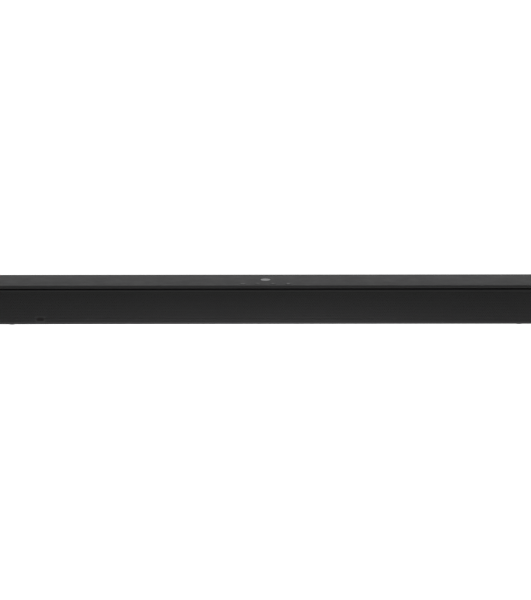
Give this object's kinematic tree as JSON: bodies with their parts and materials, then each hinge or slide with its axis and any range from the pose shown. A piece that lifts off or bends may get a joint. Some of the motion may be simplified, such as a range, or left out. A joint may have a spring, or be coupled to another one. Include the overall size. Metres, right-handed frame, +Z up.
{
  "type": "soundbar",
  "caption": "Slim soundbar with a crowned perforated grille, moulded top with push buttons, end caps, drivers, amplifier boards and a recessed connector bay.",
  "frame": {"origin": "middle of the bar's footprint, on the surface that the feet stand on", "axes": "+X along the bar to the right as seen from the front, -Y towards the listener, +Z up"},
  "size_m": [0.95, 0.086, 0.0653],
  "materials": {
    "cabinet": "black moulded plastic with a fine spark texture",
    "cover": "charcoal moulded plastic with a fine spark texture, satin",
    "end_cap": "black moulded plastic with a fine spark texture",
    "baffle": "black moulded plastic",
    "grille": "perforated steel, satin black powder coat",
    "scrim": "black acoustic cloth",
    "foot": "black rubber",
    "badge": "satin disc with a turned face, blank",
    "button": "charcoal plastic with a pale printed symbol",
    "circuit_board": "green solder resist",
    "power_circuit_board": "tan phenolic board",
    "switch": "black moulded plastic",
    "lens": "smoked translucent plastic",
    "basket": "black glass-filled plastic",
    "motor": "zinc-plated steel and ferrite",
    "suspension": "black rubber surround and cloth spider",
    "cone": "coated paper cone and dust cap",
    "dome": "doped silk dome",
    "gasket": "closed-cell foam",
    "heatsink": "plain extruded aluminium",
    "shield_can": "tinned steel can",
    "transformer": "ferrite core and yellow winding tape",
    "capacitor": "dark sleeved cans",
    "socket_plastic": "black moulded plastic",
    "socket_metal": "nickel-plated shells",
    "pin": "nickel-plated brass",
    "shutter": "black moulded plastic",
    "lead": "red insulated wire",
    "black_screw": "black oxide steel",
    "zinc_screw": "zinc-plated steel",
    "brass": "machined brass"
  },
  "bodies": {
    "cabinet": {"inner_frame": "baffle", "bottom_panel": "cabinet", "rear_panel": "cabinet", "top_cover": "cover", "front_baffle": "baffle", "front_grille": "grille", "grille_scrim": "scrim", "left_end_cap": "end_cap", "right_end_cap": "end_cap", "rubber_feet": "foot", "badge": "badge", "button_board": "circuit_board", "tact_switches": "switch", "indicator_lens": "lens", "indicator_board": "circuit_board", "driver_gaskets": "gasket", "main_board": "circuit_board", "heatsink": "heatsink", "wireless_module": "shield_can", "power_board": "power_circuit_board", "power_transformer": "transformer", "filter_capacitors": "capacitor", "power_inlet": "socket_plastic", "inlet_pins": "pin", "hdmi_socket": "socket_metal", "usb_socket": "socket_metal", "aux_jack": "socket_plastic", "optical_socket": "socket_plastic", "speaker_leads": "lead", "cabinet_screws": "black_screw", "driver_screws": "black_screw", "board_screws": "zinc_screw", "wall_inserts": "brass", "left_outer_woofer_basket": "basket", "left_outer_woofer_motor": "motor", "left_outer_woofer_suspension": "suspension", "left_inner_woofer_basket": "basket", "left_inner_woofer_motor": "motor", "left_inner_woofer_suspension": "suspension", "right_inner_woofer_basket": "basket", "right_inner_woofer_motor": "motor", "right_inner_woofer_suspension": "suspension", "right_outer_woofer_basket": "basket", "right_outer_woofer_motor": "motor", "right_outer_woofer_suspension": "suspension", "left_tweeter_faceplate": "basket", "left_tweeter_motor": "motor", "right_tweeter_faceplate": "basket", "right_tweeter_motor": "motor"},
    "power_button": {"power_button": "button"},
    "volume_down_button": {"volume_down_button": "button"},
    "volume_up_button": {"volume_up_button": "button"},
    "source_button": {"source_button": "button"},
    "left_outer_woofer_cone": {"left_outer_woofer_cone": "cone"},
    "left_inner_woofer_cone": {"left_inner_woofer_cone": "cone"},
    "right_inner_woofer_cone": {"right_inner_woofer_cone": "cone"},
    "right_outer_woofer_cone": {"right_outer_woofer_cone": "cone"},
    "left_tweeter_dome": {"left_tweeter_dome": "dome"},
    "right_tweeter_dome": {"right_tweeter_dome": "dome"},
    "optical_shutter": {"optical_shutter": "shutter"}
  },
  "joints": [
    {"name": "power_button_press", "type": "slide", "parent": "cabinet", "child": "power_button", "axis": [0, 0, -1], "range_m": [0, 0.0008], "stiffness_N_per_m": 500},
    {"name": "volume_down_button_press", "type": "slide", "parent": "cabinet", "child": "volume_down_button", "axis": [0, 0, -1], "range_m": [0, 0.0008], "stiffness_N_per_m": 500},
    {"name": "volume_up_button_press", "type": "slide", "parent": "cabinet", "child": "volume_up_button", "axis": [0, 0, -1], "range_m": [0, 0.0008], "stiffness_N_per_m": 500},
    {"name": "source_button_press", "type": "slide", "parent": "cabinet", "child": "source_button", "axis": [0, 0, -1], "range_m": [0, 0.0008], "stiffness_N_per_m": 500},
    {"name": "left_outer_woofer_stroke", "type": "slide", "parent": "cabinet", "child": "left_outer_woofer_cone", "axis": [0, -1, 0], "range_m": [-0.002, 0.002], "stiffness_N_per_m": 1200, "deforming": ["left_outer_woofer_suspension"]},
    {"name": "left_inner_woofer_stroke", "type": "slide", "parent": "cabinet", "child": "left_inner_woofer_cone", "axis": [0, -1, 0], "range_m": [-0.002, 0.002], "stiffness_N_per_m": 1200, "deforming": ["left_inner_woofer_suspension"]},
    {"name": "right_inner_woofer_stroke", "type": "slide", "parent": "cabinet", "child": "right_inner_woofer_cone", "axis": [0, -1, 0], "range_m": [-0.002, 0.002], "stiffness_N_per_m": 1200, "deforming": ["right_inner_woofer_suspension"]},
    {"name": "right_outer_woofer_stroke", "type": "slide", "parent": "cabinet", "child": "right_outer_woofer_cone", "axis": [0, -1, 0], "range_m": [-0.002, 0.002], "stiffness_N_per_m": 1200, "deforming": ["right_outer_woofer_suspension"]},
    {"name": "left_tweeter_stroke", "type": "slide", "parent": "cabinet", "child": "left_tweeter_dome", "axis": [0, -1, 0], "range_m": [-0.0003, 0.0003], "stiffness_N_per_m": 1000},
    {"name": "right_tweeter_stroke", "type": "slide", "parent": "cabinet", "child": "right_tweeter_dome", "axis": [0, -1, 0], "range_m": [-0.0003, 0.0003], "stiffness_N_per_m": 1000},
    {"name": "optical_shutter_swing", "type": "hinge", "parent": "cabinet", "child": "optical_shutter", "pos_m": [0.034, 0.0303, 0.0301], "axis": [-1, 0, 0], "range_deg": [0, 80], "stiffness_Nm_per_rad": 0.0005}
  ]
}
